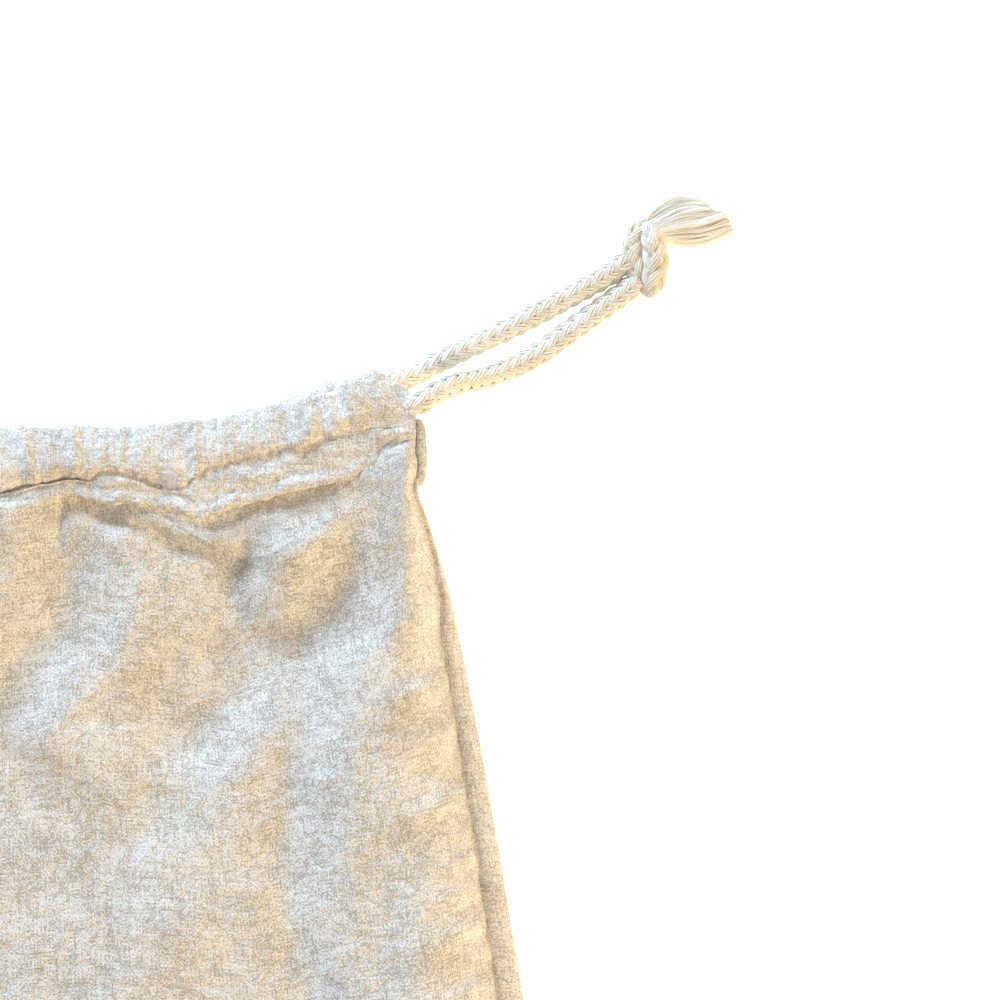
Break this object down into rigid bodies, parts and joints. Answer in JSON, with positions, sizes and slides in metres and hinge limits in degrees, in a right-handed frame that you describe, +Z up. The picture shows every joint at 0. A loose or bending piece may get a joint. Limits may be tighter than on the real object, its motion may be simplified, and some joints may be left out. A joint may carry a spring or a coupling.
{
  "type": "drawstring laundry bag",
  "caption": "Natural cotton drawstring laundry bag lying flat, with a gathered channel at its mouth and a braided cord knotted to a frayed end.",
  "frame": {"origin": "under the middle of the cloth, on the surface the bag lies on", "axes": "+Y towards the mouth, +X to the side where the cord ends come out, +Z up from the surface"},
  "size_m": [0.3379, 0.4375, 0.0257],
  "materials": {
    "cotton_cloth": "washed plain-weave cotton, natural and unbleached",
    "cotton_cord": "braided natural cotton",
    "cotton_yarn": "loose natural cotton yarn"
  },
  "bodies": {
    "root": {"front_panel": "cotton_cloth", "back_panel": "cotton_cloth", "drawstring": "cotton_cord", "knot": "cotton_cord", "frayed_end": "cotton_yarn"}
  },
  "joints": []
}
